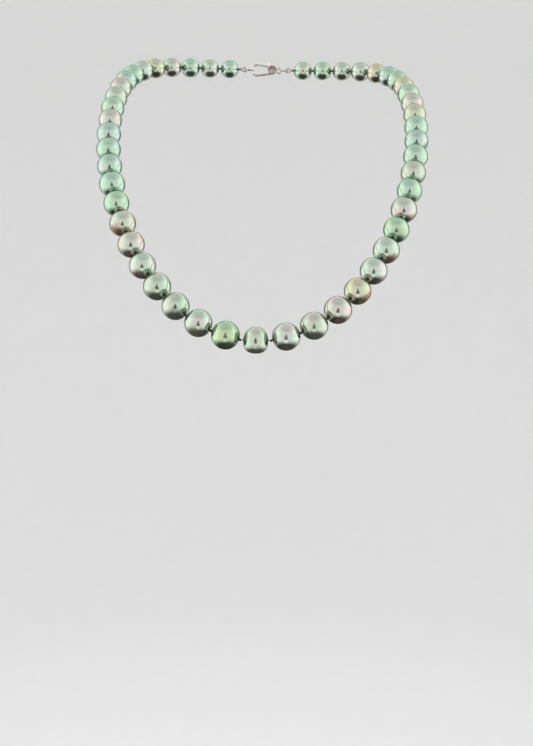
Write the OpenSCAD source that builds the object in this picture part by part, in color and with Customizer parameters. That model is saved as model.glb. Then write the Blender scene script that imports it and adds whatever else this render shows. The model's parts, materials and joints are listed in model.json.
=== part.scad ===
// Graduated pearl necklace in its worn shape, closed by a claw clasp at the nape.
// Every pearl is drilled and threaded on one silk thread, with a knot between neighbours.
// Frame: origin on the clasp line at the nape, +X to the right of a viewer who faces
// the front of the necklace, -Y to the front of the neck, +Z up.

/* [Pearls] */
// Number of pearls on each side of the centre pearl
pearls_per_side = 24; // [20:1:24]
// Diameter of the largest pearls, beside the centre pearl
front_pearl_d = 9.2; // [8.6:0.1:10]
// Diameter of the smallest pearls, beside the clasp
end_pearl_d = 7.6; // [7:0.1:8.4]
// Diameter of the centre pearl
centre_pearl_d = 8.7; // [8:0.1:9.2]
// How far a pearl's diameter departs from the even graduation
pearl_variation = 0.1; // [0:0.02:0.14]

/* [Stringing] */
// Space between neighbouring pearls, where the knot sits
knot_gap = 0.75; // [0.7:0.05:1]
// Diameter of a silk knot
knot_d = 1.06; // [0.9:0.02:1.1]
// Diameter of the hole drilled through a pearl
hole_d = 0.8; // [0.7:0.05:0.9]
// Diameter of the silk thread
silk_d = 0.4; // [0.3:0.05:0.45]

/* [Worn shape] */
// Depth of the loop, front to nape, for each millimetre of its half width
depth_ratio = 2.47; // [2.2:0.01:2.7]
// Height of the nape over the front, for each millimetre of half width
rise_ratio = 1.6; // [1.2:0.01:1.8]
// How far the widest place lies towards the front
front_fullness = 0.044; // [0:0.002:0.05]
// How much the sides of the loop are squared
squareness = 0.04; // [0:0.002:0.05]
// How much steeper the strand climbs over the chest than behind the neck
chest_steepness = 0.37; // [0.3:0.01:0.4]

/* [Clasp] */
// Distance between the centres of the claw's hook and its eye
claw_length = 9.4; // [9.2:0.1:10.5]
// Radius of the claw's hook, to the middle of the bar
hook_r = 2.2; // [2.1:0.05:2.4]
// Radius of the bar that the claw is made of
claw_bar_r = 0.6; // [0.5:0.02:0.62]
// Radius of the ring on the claw's eye, to the middle of its wire
jump_ring_r = 1.6; // [1.5:0.05:2]
// Radius of the ring that the claw hooks into, to the middle of its wire
end_ring_r = 2; // [1.8:0.05:2.4]
// How far the trigger is open, in degrees
trigger_angle = 0; // [0:1:24]

/* [Hidden] */
$fn = 48;

// Joints between straight and bent bars
bend_fullness = 1.04;
run_in = 0.08;

// Stringing details
countersink_d = 1.3;
countersink_depth = 0.22;
bullion_d = 0.8;
bullion_bore_d = 0.5;
bullion_bend_r = 0.85;
bullion_start = 1.15;
bend_from_knot = 2.4;

// Clasp details
play = 0.05;
jump_wire_r = 0.35;
end_wire_r = 0.4;
eye_r = 1.15;
eye_wire_r = 0.4;
boss_r = 1.9;
boss_width = 2.3;
boss_from_eye = 2.9;
slot_width = 1;
pivot_height = 0.85;
pivot_pin_r = 0.3;
pivot_clearance = 0.03;
heel_r = 0.95;
heel_width = 0.86;
slot_floor = -0.35;
gate_r = 0.42;
nose_angle = 80;
back_slope = 8;
nose_gap = 0.12;
nub_from_pivot = 1.5;
nub_height = 1.6;
spring_r = 0.9;
spring_span = 1.3;
spring_thickness = 0.12;
spring_width = 0.6;
spring_from_pivot = 1.3;

// Places along the clasp, each measured from the knot at its own end
jump_ring_from_knot = bend_from_knot + play + jump_ring_r;
eye_from_knot = jump_ring_from_knot + jump_ring_r - jump_wire_r - eye_wire_r - play + eye_r;
end_ring_from_knot = bend_from_knot + play + end_ring_r;
hook_from_knot = end_ring_from_knot + end_ring_r - end_wire_r - claw_bar_r - play + hook_r;
clasp_half = (claw_length + eye_from_knot + hook_from_knot) / 2;
jump_ring_x = clasp_half - jump_ring_from_knot;
eye_x = clasp_half - eye_from_knot;
end_ring_x = end_ring_from_knot - clasp_half;
hook_x = hook_from_knot - clasp_half;
pivot = [eye_x - boss_from_eye, pivot_height, 0];
nose = [hook_x + hook_r * cos(nose_angle), hook_r * sin(nose_angle), 0];

// Graduation of the pearls, by their number from the centre; side is 1 on the right, -1 on the left
function graduated_d(i) = front_pearl_d - (front_pearl_d - end_pearl_d) * pow(i / pearls_per_side, 2);
function pearl_d(side, i) =
    i == 0 ? centre_pearl_d : graduated_d(i) + pearl_variation * sin(137 * i + 70 * side);
function link_length(i) = graduated_d(i) + knot_gap;

// Share of the way from the front of the loop to the nape, at angle t from 0 to 180
function share(t, second, third) =
    (1 - cos(t) + second * (1 - cos(2 * t)) + third * (1 - cos(3 * t))) / (2 + 2 * third);

// Worn shape: half of a closed curve, from the front at 0 to the nape at 180
function loop_point(t, half_w) = half_w * [
    sin(t) + front_fullness * sin(2 * t) + squareness * sin(3 * t),
    depth_ratio * share(t, 0.138, -0.024),
    rise_ratio * share(t, chest_steepness, 0.05)
];

// Angle where the curve is the given distance from a point, by halving the interval
function step_angle(from, distance, low, high, half_w, halvings = 16) =
    let (middle = (low + high) / 2)
    halvings == 0 ? middle :
    norm(loop_point(middle, half_w) - from) < distance
        ? step_angle(from, distance, middle, high, half_w, halvings - 1)
        : step_angle(from, distance, low, middle, half_w, halvings - 1);

// Angle where the curve is half a centre link away from the mirror plane
function first_angle(half_w, low = 0, high = 30, halvings = 16) =
    let (middle = (low + high) / 2)
    halvings == 0 ? middle :
    loop_point(middle, half_w)[0] < link_length(0) / 2
        ? first_angle(half_w, middle, high, halvings - 1)
        : first_angle(half_w, low, middle, halvings - 1);

// Knots of the right-hand half, from the centre pearl to the clasp, one link apart
function knots_from(i, angle, half_w) =
    let (here = loop_point(angle, half_w))
    i == pearls_per_side ? [here] : concat([here], knots_from(i + 1,
        step_angle(here, link_length(i + 1), angle, min(angle + 25, 200), half_w), half_w));
function half_strand(half_w) = knots_from(0, first_angle(half_w), half_w);

// Half width of the loop at which the strand just reaches the clasp
function closing_half_w(low = 35, high = 85, halvings = 18) =
    let (middle = (low + high) / 2)
    halvings == 0 ? middle :
    half_strand(middle)[pearls_per_side][0] < clasp_half
        ? closing_half_w(middle, high, halvings - 1)
        : closing_half_w(low, middle, halvings - 1);

strand = half_strand(closing_half_w());
nape = [0, strand[pearls_per_side][1], strand[pearls_per_side][2]];
knots = [for (k = strand) k - nape];

// Knot number i of a side; both sides mirror each other
function knot(side, i) = [side * knots[i][0], knots[i][1], knots[i][2]];

// Names of the nodes
function two_digits(i) = i < 10 ? str("0", i) : str(i);
function side_name(side) = side > 0 ? "right" : "left";
function pearl_name(side, i) = str("pearl_", side_name(side), "_", two_digits(i));

// Overtone of a pearl: silver to green, rose or blue over a dark ground
function overtone(side, i) = let (turn = 360 * ((i * 0.381 + (side + 1) * 0.23) % 1))
    [0.5 + 0.12 * cos(turn), 0.55 + 0.08 * cos(turn - 150), 0.52 + 0.1 * cos(turn - 240)];

// Places the children's Z axis along the line from a to b, starting at a
module along(a, b) {
    d = b - a;
    translate(a) rotate([0, acos(d[2] / norm(d)), atan2(d[1], d[0])]) children();
}

module rod(a, b, r) {
    along(a, b) cylinder(r = r, h = norm(b - a));
}

// A rod with a half-round end at b
module round_ended_rod(a, b, r) {
    straight = norm(b - a);
    along(a, b) rotate_extrude() {
        square([r, straight]);
        intersection() {
            translate([0, straight]) circle(r = r);
            translate([0, straight]) square(r);
        }
    }
}

// Part of a ring: a round bar bent about Z, from one angle to another
module bent_bar(bend_r, bar_r, from, to) {
    rotate([0, 0, from]) rotate_extrude(angle = to - from) translate([bend_r, 0]) circle(r = bar_r);
}

// A bend that straight bars run on from: a little thicker, so that they end inside it
module bend_between_bars(bend_r, bar_r, from, to) {
    bent_bar(bend_r, bend_fullness * bar_r, from, to);
}

// The clasp lies in the upright plane across the nape: its own X is X and its own Y is Z
module clasp_plane() {
    rotate([90, 0, 0]) children();
}

// A drilled pearl between two knots, with a small countersink where the thread comes out
module drilled_pearl(a, b, d) {
    reach = d / 2;
    along((a + b) / 2, b) difference() {
        sphere(d = d, $fn = 72);
        cylinder(d = hole_d, h = 2 * d, center = true);
        for (end = [0, 180]) rotate([end, 0, 0]) translate([0, 0, reach - countersink_depth])
            cylinder(d1 = hole_d, d2 = 2 * countersink_d - hole_d, h = 2 * countersink_depth);
    }
}

module pearl_centre() {
    color(overtone(0, 0)) drilled_pearl(knot(-1, 0), knot(1, 0), centre_pearl_d);
}

module pearl(side, i) {
    color(overtone(side, i)) drilled_pearl(knot(side, i - 1), knot(side, i), pearl_d(side, i));
}

// The thread's own loop round a ring, drawn at the origin with the knot at +X
module thread_loop(r, start) {
    lean = asin(bullion_bend_r / bend_from_knot);
    leg = [cos(lean), -sin(lean), 0];
    leg_foot = bullion_bend_r * [sin(lean), cos(lean), 0];
    for (flip = [0, 1]) mirror([0, flip, 0])
        rod([bend_from_knot, 0, 0] - start * leg, leg_foot - run_in * leg, r);
    bend_between_bars(bullion_bend_r, r, 90 - lean, 270 + lean);
}

module thread_loop_place(side) {
    mirror([side > 0 ? 0 : 1, 0, 0]) clasp_plane() translate([clasp_half - bend_from_knot, 0, 0]) children();
}

// A knot of the right-hand half, its poles on the strand so that the thread leaves it there
module silk_knot(i) {
    before = i == 0 ? knot(-1, 0) : knot(1, i - 1);
    after = i == pearls_per_side ? 2 * knot(1, i) - before : knot(1, i + 1);
    along(knot(1, i), knot(1, i) + after - before) sphere(d = knot_d);
}

module right_half_silk() {
    for (i = [1:pearls_per_side]) rod(knot(1, i - 1), knot(1, i), silk_d / 2);
    for (i = [0:pearls_per_side]) silk_knot(i);
    thread_loop_place(1) thread_loop(silk_d / 2, 0);
}

module silk_thread() {
    color("darkslategray") {
        right_half_silk();
        mirror([1, 0, 0]) right_half_silk();
        rod(knot(-1, 0), knot(1, 0), silk_d / 2);
    }
}

// Fine coiled wire that guards the thread where it rubs on a ring
module bullion(side) {
    color("silver") thread_loop_place(side) difference() {
        thread_loop(bullion_d / 2, bullion_start);
        thread_loop(bullion_bore_d / 2, bullion_start - 0.1);
    }
}

// Rings lie flat, across the plane of the claw and of the thread's loops
module ring(x, ring_r, wire_r) {
    color("silver") translate([x, 0, 0]) rotate_extrude() translate([ring_r, 0]) circle(r = wire_r);
}

module jump_ring() {
    ring(jump_ring_x, jump_ring_r, jump_wire_r);
}

module end_ring() {
    ring(end_ring_x, end_ring_r, end_wire_r);
}

// Claw: eye, boss that holds the trigger, back bar and the hook with its nose
module claw_body() {
    back = [cos(back_slope), sin(back_slope), 0];
    back_start = [hook_x, 0, 0] + hook_r * [sin(back_slope), -cos(back_slope), 0];
    back_end = back_start + (pivot[0] - 0.3 - back_start[0]) / cos(back_slope) * back;
    color("silver") clasp_plane() difference() {
        union() {
            translate([eye_x, 0, 0]) bent_bar(eye_r, eye_wire_r, 0, 360);
            rod([pivot[0], 0, 0], [eye_x - eye_r + eye_wire_r / 2, 0, 0], eye_wire_r + 0.15);
            translate([pivot[0], 0, 0]) cylinder(r = boss_r, h = boss_width, center = true);
            rod(back_start - run_in * back, back_end, claw_bar_r);
            translate([hook_x, 0, 0])
                bend_between_bars(hook_r, claw_bar_r, nose_angle, 270 + back_slope);
        }
        trigger_slot();
        translate(pivot) cylinder(r = pivot_pin_r + 0.01, h = 2 * boss_width, center = true);
    }
}

// Slot through the boss for the trigger's heel, open to the hook and to the outside
module trigger_slot() {
    slot_back = pivot[0] + heel_r + 0.15;
    slot_front = pivot[0] - boss_r - 1;
    translate([slot_front, slot_floor, -slot_width / 2])
        cube([slot_back - slot_front, boss_r + 1, slot_width]);
}

// Trigger: heel on the pin, gate that meets the nose, and the nub that a nail pushes
module claw_trigger() {
    gate_root = [pivot[0], pivot[1] + heel_r - gate_r - 0.08, 0];
    tip = nose + (nose_gap + gate_r) * [sin(nose_angle), -cos(nose_angle), 0];
    nub_foot = [pivot[0] - nub_from_pivot, gate_root[1], 0];
    nub_tip = nub_foot + [-0.2, nub_height, 0];
    color("silver") clasp_plane() translate(pivot) rotate([0, 0, trigger_angle]) translate(-pivot)
        difference() {
            union() {
                translate(pivot) cylinder(r = heel_r, h = heel_width, center = true);
                round_ended_rod(gate_root, tip, gate_r);
                round_ended_rod(nub_foot, nub_tip, gate_r + 0.05);
            }
            translate(pivot) cylinder(r = pivot_pin_r + pivot_clearance, h = 2 * heel_width, center = true);
        }
}

module trigger_pin() {
    color("gray") clasp_plane() translate(pivot) cylinder(r = pivot_pin_r, h = boss_width, center = true);
}

// Leaf spring in the slot, between its floor and the underside of the gate
module trigger_spring() {
    half_angle = asin(spring_span / 2 / spring_r);
    spring_middle = slot_floor + play + spring_span / 2;
    color("gray") clasp_plane()
        translate([pivot[0] - spring_from_pivot + spring_r * cos(half_angle), spring_middle, 0])
        rotate([0, 0, 180 - half_angle]) rotate_extrude(angle = 2 * half_angle)
        translate([spring_r, 0]) square([spring_thickness, spring_width], center = true);
}

pearl_centre();
for (side = [1, -1], i = [1:pearls_per_side])
    pearl(side, i);
silk_thread();
bullion(1);  // bullion_right
bullion(-1);  // bullion_left
jump_ring();
end_ring();
claw_body();
claw_trigger();
trigger_pin();
trigger_spring();
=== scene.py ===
import json
import math
import random

import bpy
import numpy as np
from mathutils import Matrix, Vector


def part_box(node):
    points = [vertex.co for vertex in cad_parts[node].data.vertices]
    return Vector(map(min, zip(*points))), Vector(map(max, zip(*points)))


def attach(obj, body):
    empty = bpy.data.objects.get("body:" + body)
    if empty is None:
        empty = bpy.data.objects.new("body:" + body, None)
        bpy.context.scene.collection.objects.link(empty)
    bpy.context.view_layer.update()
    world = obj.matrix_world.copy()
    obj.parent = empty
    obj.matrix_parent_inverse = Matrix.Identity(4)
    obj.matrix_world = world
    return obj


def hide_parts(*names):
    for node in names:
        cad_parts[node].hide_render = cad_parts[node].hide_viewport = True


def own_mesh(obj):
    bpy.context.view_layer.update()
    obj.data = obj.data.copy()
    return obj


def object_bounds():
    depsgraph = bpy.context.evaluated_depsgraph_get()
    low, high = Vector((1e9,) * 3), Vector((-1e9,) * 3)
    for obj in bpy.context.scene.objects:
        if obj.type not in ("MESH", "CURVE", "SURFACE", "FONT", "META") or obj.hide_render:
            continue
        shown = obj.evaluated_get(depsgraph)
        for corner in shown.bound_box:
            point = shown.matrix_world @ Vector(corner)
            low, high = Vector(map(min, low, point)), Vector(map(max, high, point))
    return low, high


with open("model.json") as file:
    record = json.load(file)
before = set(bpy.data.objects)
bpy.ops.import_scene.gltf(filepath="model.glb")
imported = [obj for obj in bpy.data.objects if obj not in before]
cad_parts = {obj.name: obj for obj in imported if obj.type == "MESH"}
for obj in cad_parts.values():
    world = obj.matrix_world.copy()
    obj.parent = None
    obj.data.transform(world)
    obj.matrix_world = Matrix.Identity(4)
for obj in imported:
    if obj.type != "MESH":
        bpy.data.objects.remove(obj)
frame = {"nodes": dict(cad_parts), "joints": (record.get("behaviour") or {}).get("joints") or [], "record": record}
CAD_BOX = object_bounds()

MM = 0.001
TURN = 2 * math.pi
SLOT_OF = {s["node"]: s["material_slot"] for s in frame["record"]["subparts"]}
JOINT = {j["name"]: j for j in frame["joints"]}
PEARLS_PER_SIDE = sum(name.startswith("pearl_right_") for name in frame["nodes"])
SILK_R = 0.2 * MM


# ---------------------------------------------------------------- places taken from the frame


def knot(side, i):
    """Knot i of a side, counted from the centre pearl; side is "right" or "left"."""
    if i == 0:
        x, y, z = JOINT["knot_centre"]["pos_m"]
        return Vector((x if side == "right" else -x, y, z))
    return Vector(JOINT[f"knot_{side}_{i:02d}"]["pos_m"])


def pearl_links():
    """Each pearl as (node, the knot on its front side, the knot on its clasp side)."""
    yield "pearl_centre", knot("left", 0), knot("right", 0)
    for side in ("right", "left"):
        for i in range(1, PEARLS_PER_SIDE + 1):
            yield f"pearl_{side}_{i:02d}", knot(side, i - 1), knot(side, i)


FRONT = (knot("left", 0) + knot("right", 0)) / 2


# ---------------------------------------------------------------- mesh helpers


def smooth_step(x, low, high):
    t = np.clip((x - low) / (high - low), 0, 1)
    return t * t * (3 - 2 * t)


def ring_faces(rings, sides, closed):
    """Quads between rings of vertices that each have the same number of sides."""
    faces = []
    for i in range(rings if closed else rings - 1):
        j = (i + 1) % rings
        for k in range(sides):
            m = (k + 1) % sides
            faces.append((i * sides + k, i * sides + m, j * sides + m, j * sides + k))
    return faces


def new_object(name, verts, faces, material):
    mesh = bpy.data.meshes.new(name)
    mesh.from_pydata([tuple(v) for v in verts], [], faces)
    mesh.update()
    mesh.polygons.foreach_set("use_smooth", [True] * len(mesh.polygons))
    mesh.materials.append(material)
    obj = bpy.data.objects.new(name, mesh)
    bpy.context.scene.collection.objects.link(obj)
    return obj


def joined(pieces):
    """Vertices and faces of several (verts, faces) pairs as one pair."""
    verts, faces, base = [], [], 0
    for v, f in pieces:
        verts.append(np.asarray(v))
        faces += [tuple(i + base for i in face) for face in f]
        base += len(v)
    return np.vstack(verts), faces


def tube(points, radius, sides, closed=False, lobes=0.0, pitch=1.0):
    """A tube along points. With lobes, its section is that of two plies twisted together."""
    p = np.asarray(points, float)
    n = len(p)
    if closed:
        tangent = np.roll(p, -1, 0) - np.roll(p, 1, 0)
    else:
        tangent = np.gradient(p, axis=0)
    tangent /= np.linalg.norm(tangent, axis=1)[:, None]
    start = np.cross(tangent[0], (0.31, 0.87, 0.39))
    normal = [start / np.linalg.norm(start)]
    for t in tangent[1:]:
        carried = normal[-1] - t * (normal[-1] @ t)
        normal.append(carried / np.linalg.norm(carried))
    normal = np.array(normal)
    side = np.cross(tangent, normal)
    steps = np.linalg.norm(np.diff(p, axis=0), axis=1)
    along = np.concatenate(([0], np.cumsum(steps)))
    drift = 0.0
    if closed:  # shares out the angle by which the carried normal misses its start
        t = tangent[0]
        last = normal[-1] - t * (normal[-1] @ t)
        drift = math.atan2(last @ side[0], last @ normal[0])
    angle = np.arange(sides) * TURN / sides
    rings = []
    for i in range(n):
        a = angle - drift * i / n
        r = radius * (1 + lobes * (np.cos(2 * (angle - TURN * along[i] / pitch)) - 1))
        rings.append(
            p[i]
            + (r * np.cos(a))[:, None] * normal[i]
            + (r * np.sin(a))[:, None] * side[i]
        )
    verts = np.vstack(rings)
    faces = ring_faces(n, sides, closed)
    if not closed:
        faces.append(tuple(range(sides))[::-1])
        faces.append(tuple((n - 1) * sides + k for k in range(sides)))
    return verts, faces


def across(axis):
    """Two directions at right angles to axis and to each other."""
    a = Vector(axis).normalized()
    u = a.cross(Vector((0, 0, 1)) if abs(a.z) < 0.9 else Vector((1, 0, 0))).normalized()
    return u, a.cross(u)


# ---------------------------------------------------------------- materials


class Nodes:
    """A material and short calls to add nodes to it."""

    def __init__(self, name):
        self.material = bpy.data.materials.new(name)
        self.material.use_nodes = True
        self.tree = self.material.node_tree
        self.shader = self.tree.nodes["Principled BSDF"]

    def add(self, kind, **values):
        node = self.tree.nodes.new(kind)
        for key, value in values.items():
            setattr(node, key, value)
        return node

    def link(self, output, socket):
        self.tree.links.new(output, socket)

    def coords(self, scale, seed, turned=True):
        """Object coordinates, scaled, and moved and turned by the seed."""
        where = self.add("ShaderNodeTexCoord")
        mapping = self.add("ShaderNodeMapping")
        chance = random.Random(seed)
        mapping.inputs["Scale"].default_value = (scale, scale, scale)
        if turned:
            mapping.inputs["Location"].default_value = [
                chance.uniform(-20, 20) for _ in range(3)
            ]
            mapping.inputs["Rotation"].default_value = [
                chance.uniform(0, TURN) for _ in range(3)
            ]
        self.link(where.outputs["Object"], mapping.inputs["Vector"])
        return mapping.outputs["Vector"]

    def noise(self, vector, scale, detail=1.0, roughness=0.5):
        node = self.add("ShaderNodeTexNoise")
        node.inputs["Scale"].default_value = scale
        node.inputs["Detail"].default_value = detail
        node.inputs["Roughness"].default_value = roughness
        self.link(vector, node.inputs["Vector"])
        return node.outputs["Fac"]

    def spread(self, value, low, high, to_low=0.0, to_high=1.0):
        node = self.add("ShaderNodeMapRange", interpolation_type="SMOOTHSTEP")
        node.inputs["From Min"].default_value = low
        node.inputs["From Max"].default_value = high
        node.inputs["To Min"].default_value = to_low
        node.inputs["To Max"].default_value = to_high
        self.link(value, node.inputs["Value"])
        return node.outputs["Result"]

    def mix(self, factor, a, b, blend="MIX"):
        """A colour mix; a and b are colours or sockets, and factor a number or a socket."""
        node = self.add("ShaderNodeMix", data_type="RGBA", blend_type=blend)
        for socket, value in ((0, factor), (6, a), (7, b)):
            if isinstance(value, bpy.types.NodeSocket):
                self.link(value, node.inputs[socket])
            elif socket:
                node.inputs[socket].default_value = (*value, 1)
            else:
                node.inputs[socket].default_value = value
        return node.outputs[2]

    def bump(self, height, strength, distance, normal=None):
        node = self.add("ShaderNodeBump")
        node.inputs["Strength"].default_value = strength
        node.inputs["Distance"].default_value = distance
        self.link(height, node.inputs["Height"])
        if normal:
            self.link(normal, node.inputs["Normal"])
        return node.outputs["Normal"]


# Each family's overtones: the main one, the two that it drifts to, and the dark body colour, which is also the
# colour of the painted shade cap
OVERTONES = {
    "pearl_silver_green": (
        (0.40, 0.46, 0.36),
        (0.36, 0.46, 0.36),
        (0.44, 0.43, 0.37),
        (0.07, 0.10, 0.07),
    ),
    "pearl_silver": (
        (0.41, 0.475, 0.415),
        (0.37, 0.475, 0.385),
        (0.45, 0.44, 0.42),
        (0.18, 0.09, 0.055),
    ),
    "pearl_green": (
        (0.33, 0.465, 0.305),
        (0.385, 0.465, 0.29),
        (0.29, 0.45, 0.34),
        (0.04, 0.11, 0.075),
    ),
    "pearl_rose": (
        (0.43, 0.45, 0.39),
        (0.38, 0.46, 0.38),
        (0.47, 0.40, 0.39),
        (0.20, 0.085, 0.05),
    ),
    "pearl_blue": (
        (0.34, 0.46, 0.40),
        (0.33, 0.46, 0.34),
        (0.42, 0.44, 0.44),
        (0.05, 0.105, 0.11),
    ),
    "pearl_gold": (
        (0.45, 0.45, 0.33),
        (0.39, 0.46, 0.33),
        (0.47, 0.40, 0.34),
        (0.17, 0.10, 0.045),
    ),
}
# How each family's colour turns at grazing angles
RIM_TINT = {
    "pearl_silver_green": (0.19, 0.22, 0.17),
    "pearl_silver": (0.23, 0.17, 0.14),
    "pearl_green": (0.14, 0.23, 0.13),
    "pearl_rose": (0.27, 0.15, 0.11),
    "pearl_blue": (0.13, 0.21, 0.24),
    "pearl_gold": (0.25, 0.17, 0.09),
}
# What the green pearls turn to up the sides
MINT = (0.35, 0.475, 0.395)
MINT_RIM = (0.14, 0.22, 0.18)
# The painted shade cap on each pearl's underside: where it starts and ends, and how deep its colour goes
SHADE_CAP_EDGE = (0.78, 1.2)
SHADE_CAP_DEPTH = (0.3, 0.95)
GREEN_SHADE_CAP_SHARE = 0.4
METALLIC, SHADE_CAP_METALLIC = 0.95, 0.55


def toward(tone, other, share):
    """A colour moved by the given share of the way to another."""
    return tuple(a + share * (b - a) for a, b in zip(tone, other))


def nacre(name, family, radius, seed, shade_cap_way, mint):
    """Dark nacre: broad overtone zones, faint rings round the drill axis, a painted shade cap, a fine skin."""
    main, second, third = (toward(tone, MINT, mint) for tone in OVERTONES[family][:3])
    body = OVERTONES[family][3]
    n = Nodes(name)
    chance = random.Random(seed)
    unit = n.coords(1 / radius, seed)
    plain = n.coords(1 / radius, seed, turned=False)
    zone = n.spread(n.noise(unit, 0.75), 0.36, 0.62)
    zone_2 = n.spread(n.noise(unit, 1.1), 0.5, 0.7)
    colour = n.mix(zone, main, second)
    colour = n.mix(zone_2, colour, third)

    # growth rings, which tint the colour and stand out a little
    rings = n.add("ShaderNodeTexWave", wave_type="BANDS", bands_direction="Z")
    rings.inputs["Scale"].default_value = chance.uniform(1.6, 2.6)
    rings.inputs["Distortion"].default_value = 1.1
    rings.inputs["Detail"].default_value = 1
    rings.inputs["Detail Scale"].default_value = 0.8
    n.link(plain, rings.inputs["Vector"])
    ring_mask = n.spread(rings.outputs["Fac"], 0.2, 0.95, 0.0, 0.14)
    colour = n.mix(ring_mask, colour, third)

    # painted shade: a darker, less metallic cap on the side that the cap direction points to, with an uneven edge
    facing = n.add("ShaderNodeVectorMath", operation="DOT_PRODUCT")
    n.link(plain, facing.inputs[0])
    facing.inputs[1].default_value = shade_cap_way
    edge = n.add("ShaderNodeMath", operation="MULTIPLY_ADD")
    n.link(n.noise(unit, 1.6, 2), edge.inputs[0])
    edge.inputs[1].default_value = 0.5
    n.link(facing.outputs["Value"], edge.inputs[2])
    shade_depth = chance.uniform(*SHADE_CAP_DEPTH) * (GREEN_SHADE_CAP_SHARE if family == "pearl_green" else 1)
    shade_cap = n.spread(edge.outputs["Value"], *SHADE_CAP_EDGE, 0.0, shade_depth)
    colour = n.mix(shade_cap, colour, body)
    n.link(n.spread(shade_cap, 0, 1, METALLIC, SHADE_CAP_METALLIC), n.shader.inputs["Metallic"])

    # a fine mottle, then the gloss and the skin
    mottle = n.noise(unit, 7, 4, 0.6)
    colour = n.mix(n.spread(mottle, 0.35, 0.68, 0.0, 0.11), colour, body)
    n.link(colour, n.shader.inputs["Base Color"])

    n.link(
        n.spread(n.noise(unit, 2.5, 2), 0.3, 0.7, 0.14, 0.20),
        n.shader.inputs["Roughness"],
    )
    skin = n.bump(n.noise(unit, 26, 3, 0.6), 0.10, 0.02 * MM)
    waves = n.bump(n.noise(unit, 3.2, 1), 0.30, 0.06 * MM, skin)
    n.link(n.bump(rings.outputs["Fac"], 0.12, 0.05 * MM, waves), n.shader.inputs["Normal"])

    rim = toward(RIM_TINT[family], MINT_RIM, mint)
    n.shader.inputs["Specular Tint"].default_value = (*rim, 1)
    n.shader.inputs["Coat Weight"].default_value = 0.25
    n.shader.inputs["Coat Roughness"].default_value = 0.06
    n.shader.inputs["Coat IOR"].default_value = 1.5
    return n.material


def silk_material():
    """Waxed black silk: fine filaments across a soft, slightly shiny ply."""
    n = Nodes("waxed_silk")
    fine = n.coords(1 / MM, 5)
    tone = n.noise(fine, 9, 3, 0.7)
    n.link(
        n.mix(n.spread(tone, 0.35, 0.7), (0.010, 0.013, 0.014), (0.045, 0.052, 0.05)),
        n.shader.inputs["Base Color"],
    )
    n.link(n.spread(tone, 0.3, 0.7, 0.42, 0.62), n.shader.inputs["Roughness"])
    n.link(n.bump(n.noise(fine, 22, 2, 0.7), 0.5, 0.02 * MM), n.shader.inputs["Normal"])
    n.shader.inputs["Sheen Weight"].default_value = 0.25
    n.shader.inputs["Sheen Roughness"].default_value = 0.4
    return n.material


def metal_material(name, tint, rough, worn):
    """Polished metal, a little wavy, with hairline wear and a duller skin in places."""
    n = Nodes(name)
    fine = n.coords(1 / MM, 11)
    tone = n.noise(fine, 0.8, 3, 0.6)
    dull = tuple(c * 0.86 for c in tint)
    n.link(n.mix(n.spread(tone, 0.35, 0.7), tint, dull), n.shader.inputs["Base Color"])
    n.link(
        n.spread(n.noise(fine, 1.7, 4, 0.7), 0.3, 0.75, rough, rough + worn),
        n.shader.inputs["Roughness"],
    )
    scratch = n.add("ShaderNodeMapping")
    scratch.inputs["Scale"].default_value = (1, 14, 14)
    scratch.inputs["Rotation"].default_value = (0.3, 0.5, 0.2)
    n.link(fine, scratch.inputs["Vector"])
    hair = n.noise(scratch.outputs["Vector"], 1.5, 3, 0.7)
    polish = n.bump(n.noise(fine, 0.3, 1), 0.7, 0.35 * MM)
    n.link(n.bump(hair, 0.10, 0.01 * MM, polish), n.shader.inputs["Normal"])
    n.shader.inputs["Metallic"].default_value = 1
    return n.material


# ---------------------------------------------------------------- pearls

AROUND = 64
OUTER_RINGS = 36
HOLE_R = 0.4 * MM
LIP_R = 0.66 * MM
LIP_DEPTH = 0.2 * MM
# The painted shade caps face outwards and down, with some scatter
SHADE_CAP_FALL = 1.3
SHADE_CAP_SCATTER = 0.35
# How far green pearls turn to mint, and between which places from the centre
MINT_SHARE = 0.65
MINT_FROM, MINT_TO = 5.5, 9


def pearl_profile(radius):
    """The pearl's section, a closed line of (distance from the drill axis, place along it)."""
    start = math.asin(LIP_R / radius)
    outer = [
        (radius * math.sin(t), radius * math.cos(t))
        for t in np.linspace(start, math.pi - start, OUTER_RINGS)
    ]
    lip_z = radius * math.cos(start)
    lip = []
    for t in np.linspace(0, math.pi / 2, 5)[1:]:
        lip.append(
            (
                HOLE_R + (LIP_R - HOLE_R) * (1 - math.sin(t)),
                lip_z - LIP_DEPTH * (1 - math.cos(t)),
            )
        )
    bore = [(HOLE_R, z) for z in np.linspace(-0.5, 0.5, 3) * radius]
    bottom_lip = [(r, -z) for r, z in lip]
    return np.array(outer + bottom_lip + bore + lip[::-1])


def pearl_shape(direction, world_up, is_centre, chance):
    """How far the surface stands out in each direction, as a share of the radius."""
    if is_centre:
        # dome: rounded above, straight sides, flatter below
        up = direction @ world_up
        flat = np.sqrt(np.clip(1 - up**2, 0, 1))
        power = 2 + 0.75 * smooth_step(-up, -0.15, 0.6)
        half_width, half_height = 0.925, 1.0 - 0.02 * smooth_step(-up, 0, 0.5)
        return ((flat / half_width) ** power + (abs(up) / half_height) ** power) ** (
            -1 / power
        )
    shape = np.ones(len(direction))
    for size in (0.010, 0.006):
        axis = np.array([chance.gauss(0, 1) for _ in range(3)])
        axis /= np.linalg.norm(axis)
        shape += size * chance.uniform(0.3, 1) * ((direction @ axis) ** 2 - 0.55)
    for _ in range(chance.choice((0, 1, 1, 2, 3))):
        at = chance.uniform(-0.75, 0.75)
        width = chance.uniform(0.03, 0.07)
        shape -= chance.uniform(0.001, 0.003) * np.exp(
            -(((direction[:, 2] - at) / width) ** 2)
        )
    return shape


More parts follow.
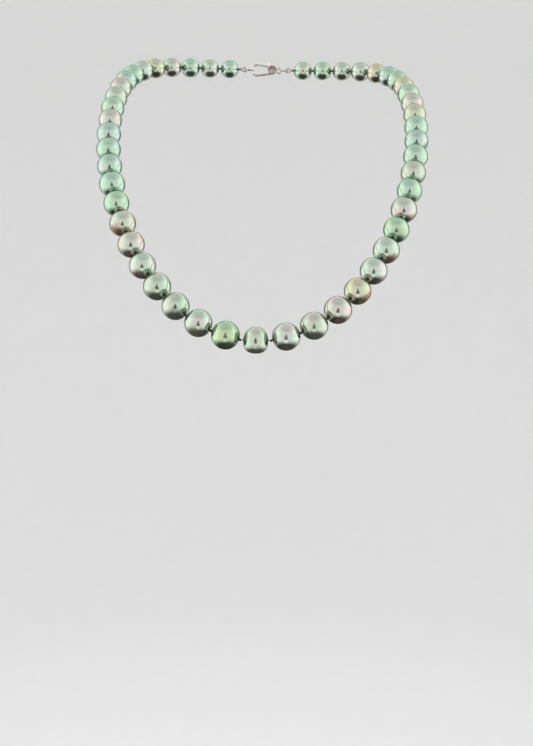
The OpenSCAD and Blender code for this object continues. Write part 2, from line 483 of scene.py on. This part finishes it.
def make_pearl(node, a, b, seed):
    """The off-round, drilled pearl that replaces a CAD sphere, threaded from a to b."""
    low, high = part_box(node)
    radius = max(high - low) / 2
    axis = (b - a).normalized()
    u, v = across(axis)
    turn = Matrix((u, v, axis)).transposed().to_4x4()
    world_up = np.array(turn.to_3x3().transposed() @ Vector((0, 0, 1)))
    profile = pearl_profile(radius)
    angle = np.arange(AROUND) * TURN / AROUND
    verts = np.vstack(
        [
            np.column_stack((r * np.cos(angle), r * np.sin(angle), np.full(AROUND, z)))
            for r, z in profile
        ]
    )
    length = np.linalg.norm(verts, axis=1)
    shape = pearl_shape(
        verts / length[:, None],
        world_up,
        node == "pearl_centre",
        random.Random(seed),
    )
    from_axis = np.hypot(verts[:, 0], verts[:, 1])
    sideways = 1 + (shape - 1) * smooth_step(from_axis, LIP_R, 2.2 * LIP_R)
    verts[:, 0] *= sideways
    verts[:, 1] *= sideways
    verts[:, 2] *= shape
    faces = ring_faces(len(profile), AROUND, closed=True)
    chance = random.Random(seed + 500)
    outward = (a + b) / 2 - Vector((0, FRONT.y / 2, 0))
    shade_cap_way = Vector((outward.x, outward.y, 0)).normalized() - Vector((0, 0, SHADE_CAP_FALL))
    shade_cap_way += Vector([chance.gauss(0, SHADE_CAP_SCATTER) for _ in range(3)])
    shade_cap_way = turn.to_3x3().transposed() @ shade_cap_way.normalized()
    family = SLOT_OF[node]
    place = 0 if node == "pearl_centre" else int(node.rsplit("_", 1)[1])
    mint = 0
    if family == "pearl_green":
        mint = MINT_SHARE * float(smooth_step(place, MINT_FROM, MINT_TO))
    material = nacre(node.replace("pearl", "nacre"), family, radius, seed, shade_cap_way, mint)
    piece = new_object(node.replace("pearl", "nacre_pearl"), verts, faces, material)
    piece.matrix_world = Matrix.Translation((a + b) / 2) @ turn
    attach(piece, node)
    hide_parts(node)


# ---------------------------------------------------------------- silk

KNOT_R = 0.53 * MM
PLY_R = 0.165 * MM
TWIST = {"lobes": 0.13, "pitch": 1.1 * MM}


def thread_line(a, b, step):
    count = max(int((b - a).length / step), 2)
    return [a.lerp(b, i / count) for i in range(count + 1)]


def knot_tube(at, axis, seed):
    """A tight overhand knot: a trefoil of thread drawn up round the strand."""
    chance = random.Random(seed)
    u, v = across(axis)
    w = Vector(axis).normalized()
    ring = (KNOT_R - PLY_R) * 0.66
    swing = KNOT_R - PLY_R - ring
    start = chance.uniform(0, TURN)
    points = []
    for i in range(60):
        t = TURN * i / 60
        out = ring + swing * math.cos(3 * t)
        points.append(
            at
            + u * (out * math.cos(2 * t + start))
            + v * (out * math.sin(2 * t + start))
            + w * (swing * 1.25 * math.sin(3 * t))
        )
    return tube(points, PLY_R, 8, closed=True)


def make_silk(node, a, b, silk, seed):
    """A pearl's own stretch of thread and the knot on its clasp side."""
    parts = [
        tube(thread_line(a, b, 0.16 * MM), SILK_R, 8, **TWIST),
        knot_tube(b, b - a, seed),
    ]
    if node == "pearl_centre":
        parts.append(knot_tube(a, a - b, seed + 1))
    verts, faces = joined(parts)
    piece = new_object(node.replace("pearl", "silk"), verts, faces, silk)
    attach(piece, node)
    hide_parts("silk_thread")


# ---------------------------------------------------------------- bullion and end loops

BULLION_R = 0.4 * MM
COIL_WIRE_R = 0.075 * MM
COIL_PITCH = 0.168 * MM
COIL_START = 1.15 * MM


def loop_line(side, start, step):
    """The thread's loop round a clasp ring, from the given distance after the end knot."""
    end_knot = knot(side, PEARLS_PER_SIDE)
    inward = -1 if side == "right" else 1
    low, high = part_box(f"bullion_{side}")
    bend_r = (high.z - low.z) / 2 - 1.04 * BULLION_R
    nearest = low.x if side == "right" else high.x
    centre = Vector((nearest - inward * (bend_r + 1.04 * BULLION_R), end_knot.y, end_knot.z))
    reach = abs(end_knot.x - centre.x)
    lean = math.asin(bend_r / reach)
    leg = reach * math.cos(lean)
    out = Vector((-inward, 0, 0))
    up = Vector((0, 0, 1))
    foot = centre + bend_r * (math.sin(lean) * out + math.cos(lean) * up)
    straight = max(int((leg - start) / step), 2)
    upper = [
        end_knot.lerp(foot, (start + (leg - start) * i / straight) / leg)
        for i in range(straight)
    ]
    bend_from, bend_to = math.pi / 2 - lean, 3 * math.pi / 2 + lean
    bends = max(int(bend_r * (bend_to - bend_from) / step), 12)
    bend = [
        centre + bend_r * (math.cos(t) * out + math.sin(t) * up)
        for t in np.linspace(bend_from, bend_to, bends + 1)
    ]
    lower = [Vector((p.x, p.y, 2 * centre.z - p.z)) for p in reversed(upper)]
    return upper + bend + lower


def coil_line(path):
    """A helix round a path that lies in the upright plane of the clasp."""
    p = np.array(path)
    steps = np.linalg.norm(np.diff(p, axis=0), axis=1)
    along = np.concatenate(([0], np.cumsum(steps)))
    tangent = np.gradient(p, axis=0)
    tangent /= np.linalg.norm(tangent, axis=1)[:, None]
    turns = along[-1] / COIL_PITCH
    where = np.linspace(0, along[-1], int(turns * 12))
    middle = np.column_stack([np.interp(where, along, p[:, k]) for k in range(3)])
    ahead = np.column_stack([np.interp(where, along, tangent[:, k]) for k in range(3)])
    ahead /= np.linalg.norm(ahead, axis=1)[:, None]
    level = np.array([0.0, 1.0, 0.0])
    rise = np.cross(ahead, level)
    angle = TURN * where / COIL_PITCH
    reach = BULLION_R - COIL_WIRE_R
    return middle + reach * (np.cos(angle)[:, None] * level + np.sin(angle)[:, None] * rise)


def make_end(side, silk, wire):
    """The thread's end loop round its ring, and the bullion coiled over it."""
    verts, faces = tube(coil_line(loop_line(side, COIL_START, 0.05 * MM)), COIL_WIRE_R, 6)
    bullion = new_object(f"bullion_coil_{side}", verts, faces, wire)
    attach(bullion, "clasp")
    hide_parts(f"bullion_{side}")
    verts, faces = tube(loop_line(side, 0.1 * MM, 0.12 * MM), SILK_R, 8, **TWIST)
    thread = new_object(f"silk_end_{side}", verts, faces, silk)
    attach(thread, "clasp")
    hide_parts("silk_thread")


# ---------------------------------------------------------------- the clasp's leaf spring

LEAF_R = 0.9 * MM
LEAF_THICK = 0.12 * MM
LEAF_EDGE = 0.03 * MM
LEAF_STATIONS = 25


def make_spring(material):
    """A bowed leaf with softened edges, with a mesh of its own."""
    low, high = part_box("trigger_spring")
    middle = (low + high) / 2
    reach = LEAF_R + LEAF_THICK / 2
    half_angle = math.asin((high.z - low.z) / 2 / reach)
    half_width, half_thick = (high.y - low.y) / 2, LEAF_THICK / 2
    section = []
    for y, t, width_first in ((-1, -1, False), (1, -1, True), (1, 1, False), (-1, 1, True)):
        cut = [
            (y * (half_width - LEAF_EDGE), t * half_thick),
            (y * half_width, t * (half_thick - LEAF_EDGE)),
        ]
        section += cut if width_first else cut[::-1]
    verts = [
        (
            low.x + reach - (LEAF_R + t) * math.cos(a),
            middle.y + y,
            middle.z + (LEAF_R + t) * math.sin(a),
        )
        for a in np.linspace(-half_angle, half_angle, LEAF_STATIONS)
        for y, t in section
    ]
    sides = len(section)
    faces = ring_faces(LEAF_STATIONS, sides, closed=False)
    faces.append(tuple(range(sides))[::-1])
    faces.append(tuple((LEAF_STATIONS - 1) * sides + k for k in range(sides)))
    leaf = new_object("leaf_spring", verts, faces, material)
    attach(leaf, "clasp")
    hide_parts("trigger_spring")
    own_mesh(leaf)


# ---------------------------------------------------------------- the object

PEARL_SEEDS, SILK_SEEDS = 100, 300

silk = silk_material()
wire = metal_material("bullion_wire", (0.62, 0.61, 0.58), 0.2, 0.12)
for number, (node, a, b) in enumerate(pearl_links()):
    make_pearl(node, a, b, PEARL_SEEDS + number)
    make_silk(node, a, b, silk, SILK_SEEDS + number)
for side in ("right", "left"):
    make_end(side, silk, wire)

white_gold = metal_material("white_gold", (0.56, 0.54, 0.51), 0.18, 0.08)
pin_gold = metal_material("pin_gold", (0.46, 0.44, 0.41), 0.24, 0.12)
steel = metal_material("spring_steel", (0.50, 0.51, 0.52), 0.28, 0.15)
# the rings and the claw keep their CAD meshes and get their metal
for name in ("jump_ring", "end_ring", "claw_body", "claw_trigger", "trigger_pin"):
    cad = frame["nodes"][name]
    cad.data.materials.clear()
    cad.data.materials.append(pin_gold if name == "trigger_pin" else white_gold)
make_spring(steel)


# ---------------------------------------------------------------- stage, light and camera

CAMERA_AZIMUTH, CAMERA_ELEVATION, CAMERA_ROLL = 0.24, 10.55, -1.31
CAMERA_AWAY = Vector((5.2, -364.9, 57.4)) * MM
CAMERA_LENS = 55.8
MIDDLE = Vector((0, (CAD_BOX[0][1] + CAD_BOX[1][1]) / 2, FRONT.z / 2))
FLOOR_Z = CAD_BOX[0][2] - 0.8

# The tent is open at the back, and below its rim it is a closed bowl. Angles are in degrees
TENT_R = 0.78
TENT_STEP = 4
TENT_BACK_OPENING = 128
BOWL_RIM = -22

# Brightness of each part of the light
FRONT_GLOW, SIDE_GLOW, REFLECTOR_GLOW, BOWL_GLOW = 1.42, 0.66, 1.2, 0.04
OVERHEAD_LOSS = 0.45
SOFTBOX_GLOW = 0.9
ROOM_GLOW = 1.15


def make_floor():
    """A pale floor that curves up into a pale wall all round, far from the necklace."""
    n = Nodes("pale_floor")
    fine = n.coords(30, 3)
    tone = n.noise(fine, 1.0, 5, 0.6)
    n.link(
        n.mix(n.spread(tone, 0.3, 0.7), (0.775, 0.775, 0.765), (0.785, 0.785, 0.775)),
        n.shader.inputs["Base Color"],
    )
    n.link(n.bump(n.noise(fine, 40, 3), 0.03, 0.4 * MM), n.shader.inputs["Normal"])
    n.shader.inputs["Roughness"].default_value = 0.85
    flat, fillet, wall, around = 1.6, 1.1, 2.2, 96
    profile = [(r, 0.0) for r in (0.001, 0.4, 1.0)]
    profile += [
        (flat + fillet * math.sin(t), fillet * (1 - math.cos(t)))
        for t in np.linspace(0, math.pi / 2, 16)
    ]
    profile.append((flat + fillet, wall))
    angle = np.arange(around) * TURN / around
    verts = np.vstack(
        [
            np.column_stack(
                (r * np.cos(angle), r * np.sin(angle), np.full(around, FLOOR_Z + z))
            )
            for r, z in profile
        ]
    )
    faces = ring_faces(len(profile), around, closed=False)
    new_object("pale_floor", verts, faces, n.material)


def glow_material(name, colour, strength=1.0, attribute=None):
    """An evenly glowing material, or one whose strength is an attribute of the mesh."""
    n = Nodes(name)
    n.tree.nodes.remove(n.shader)
    glow = n.add("ShaderNodeEmission")
    glow.inputs["Color"].default_value = (*colour, 1)
    glow.inputs["Strength"].default_value = strength
    if attribute:
        level = n.add("ShaderNodeAttribute", attribute_name=attribute)
        n.link(level.outputs["Fac"], glow.inputs["Strength"])
    out = next(x for x in n.tree.nodes if x.type == "OUTPUT_MATERIAL")
    n.link(glow.outputs["Emission"], out.inputs["Surface"])
    return n.material


def only_reflected(obj):
    """Makes an object show in reflections only, and neither light the scene nor shadow it."""
    obj.visible_camera = False
    obj.visible_shadow = False
    obj.visible_diffuse = False


def around_point(azimuth, elevation, distance):
    """A point round the necklace: azimuth from the front, elevation and distance."""
    a, e = math.radians(azimuth), math.radians(elevation)
    return MIDDLE + distance * Vector(
        (math.sin(a) * math.cos(e), -math.cos(a) * math.cos(e), math.sin(e))
    )


def tent_glow(azimuth, elevation):
    """Brightness of the tent: brightest at the sides, softer overhead, dark low down."""
    a, e, view = (math.radians(x) for x in (azimuth, elevation, CAMERA_ELEVATION))
    ahead = math.cos(e) * math.cos(a) * math.cos(view) + math.sin(e) * math.sin(view)
    from_camera = math.degrees(math.acos(max(-1, min(1, ahead))))
    glow = FRONT_GLOW + SIDE_GLOW * smooth_step(from_camera, 30, 88)
    overhead = 1 - OVERHEAD_LOSS * smooth_step(elevation, 22, 66)
    low = 1 - smooth_step(-elevation, 16, 56)
    reflector = math.exp(-((azimuth / 14) ** 2) - ((elevation + 34) / 8) ** 2)
    return float(glow * overhead * low + REFLECTOR_GLOW * reflector) + BOWL_GLOW


def make_tent():
    """White light tent: bright fabric round the front and sides, and a dark bowl below."""
    azimuths = range(-180, 181, TENT_STEP)
    elevations = range(-90, 83, TENT_STEP)
    verts = [around_point(a, e, TENT_R) for e in elevations for a in azimuths]
    levels = [tent_glow(a, e) for e in elevations for a in azimuths]
    row = len(azimuths)
    faces = []
    for j, e in enumerate(elevations[:-1]):
        for i, a in enumerate(azimuths[:-1]):
            if e < BOWL_RIM or abs(a + TENT_STEP / 2) < TENT_BACK_OPENING:
                k = j * row + i
                faces.append((k, k + 1, k + row + 1, k + row))
    material = glow_material("tent_glow", (1.0, 0.995, 0.985), attribute="glow")
    tent = new_object("light_tent", verts, faces, material)
    tent.data.attributes.new("glow", "FLOAT", "POINT").data.foreach_set("value", levels)
    only_reflected(tent)


def make_dark_opening_card():
    """A dim, dark brown glowing card, seen only in reflections, that stands in as painted shade for the tent's
    opening for the lens.
    """
    top, foot, half = CAMERA_ELEVATION + 17, CAMERA_ELEVATION - 26, 15
    corners = [
        around_point(a, e, TENT_R - 0.04) for a, e in ((-half, foot), (half, foot), (0, top))
    ]
    material = glow_material("dark_opening_card", (0.24, 0.17, 0.13), 0.7)
    card = new_object("dark_opening_card", corners, [(0, 1, 2)], material)
    only_reflected(card)


def make_light():
    """The tent, two softboxes behind and an even, bright room."""
    make_tent()
    make_dark_opening_card()
    light = bpy.data.lights.new("back_softbox", "AREA")
    light.shape = "RECTANGLE"
    light.size, light.size_y = 1.2, 0.8
    light.energy = SOFTBOX_GLOW * math.pi * light.size * light.size_y
    for azimuth in (150, -150):
        obj = bpy.data.objects.new("back_softbox", light)
        obj.location = around_point(azimuth, 32, 1.1)
        obj.rotation_euler = (obj.location - MIDDLE).to_track_quat("Z", "Y").to_euler()
        obj.visible_camera = False
        bpy.context.scene.collection.objects.link(obj)
    world = bpy.data.worlds.new("studio")
    world.use_nodes = True
    background = world.node_tree.nodes["Background"]
    background.inputs["Color"].default_value = (0.98, 0.99, 1, 1)
    background.inputs["Strength"].default_value = ROOM_GLOW
    bpy.context.scene.world = world
    bpy.context.scene.view_settings.view_transform = "Standard"


def make_camera():
    """The photograph's viewing angle: from in front, a little above, and 37 cm away."""
    azimuth, elevation, roll = (
        math.radians(x) for x in (CAMERA_AZIMUTH, CAMERA_ELEVATION, CAMERA_ROLL)
    )
    forward = Vector(
        (
            -math.sin(azimuth) * math.cos(elevation),
            math.cos(azimuth) * math.cos(elevation),
            -math.sin(elevation),
        )
    )
    right = Vector((math.cos(azimuth), math.sin(azimuth), 0))
    up = right.cross(forward)
    right, up = (
        right * math.cos(roll) - up * math.sin(roll),
        right * math.sin(roll) + up * math.cos(roll),
    )
    camera = bpy.data.cameras.new("camera")
    camera.sensor_width = 36
    camera.lens = CAMERA_LENS
    camera.dof.use_dof = False
    camera.clip_start, camera.clip_end = 0.01, 50
    obj = bpy.data.objects.new("camera", camera)
    obj.matrix_world = Matrix.Translation(FRONT + CAMERA_AWAY) @ Matrix(
        (right, up, -forward)
    ).transposed().to_4x4()
    bpy.context.scene.collection.objects.link(obj)
    bpy.context.scene.camera = obj


make_floor()
make_light()
make_camera()
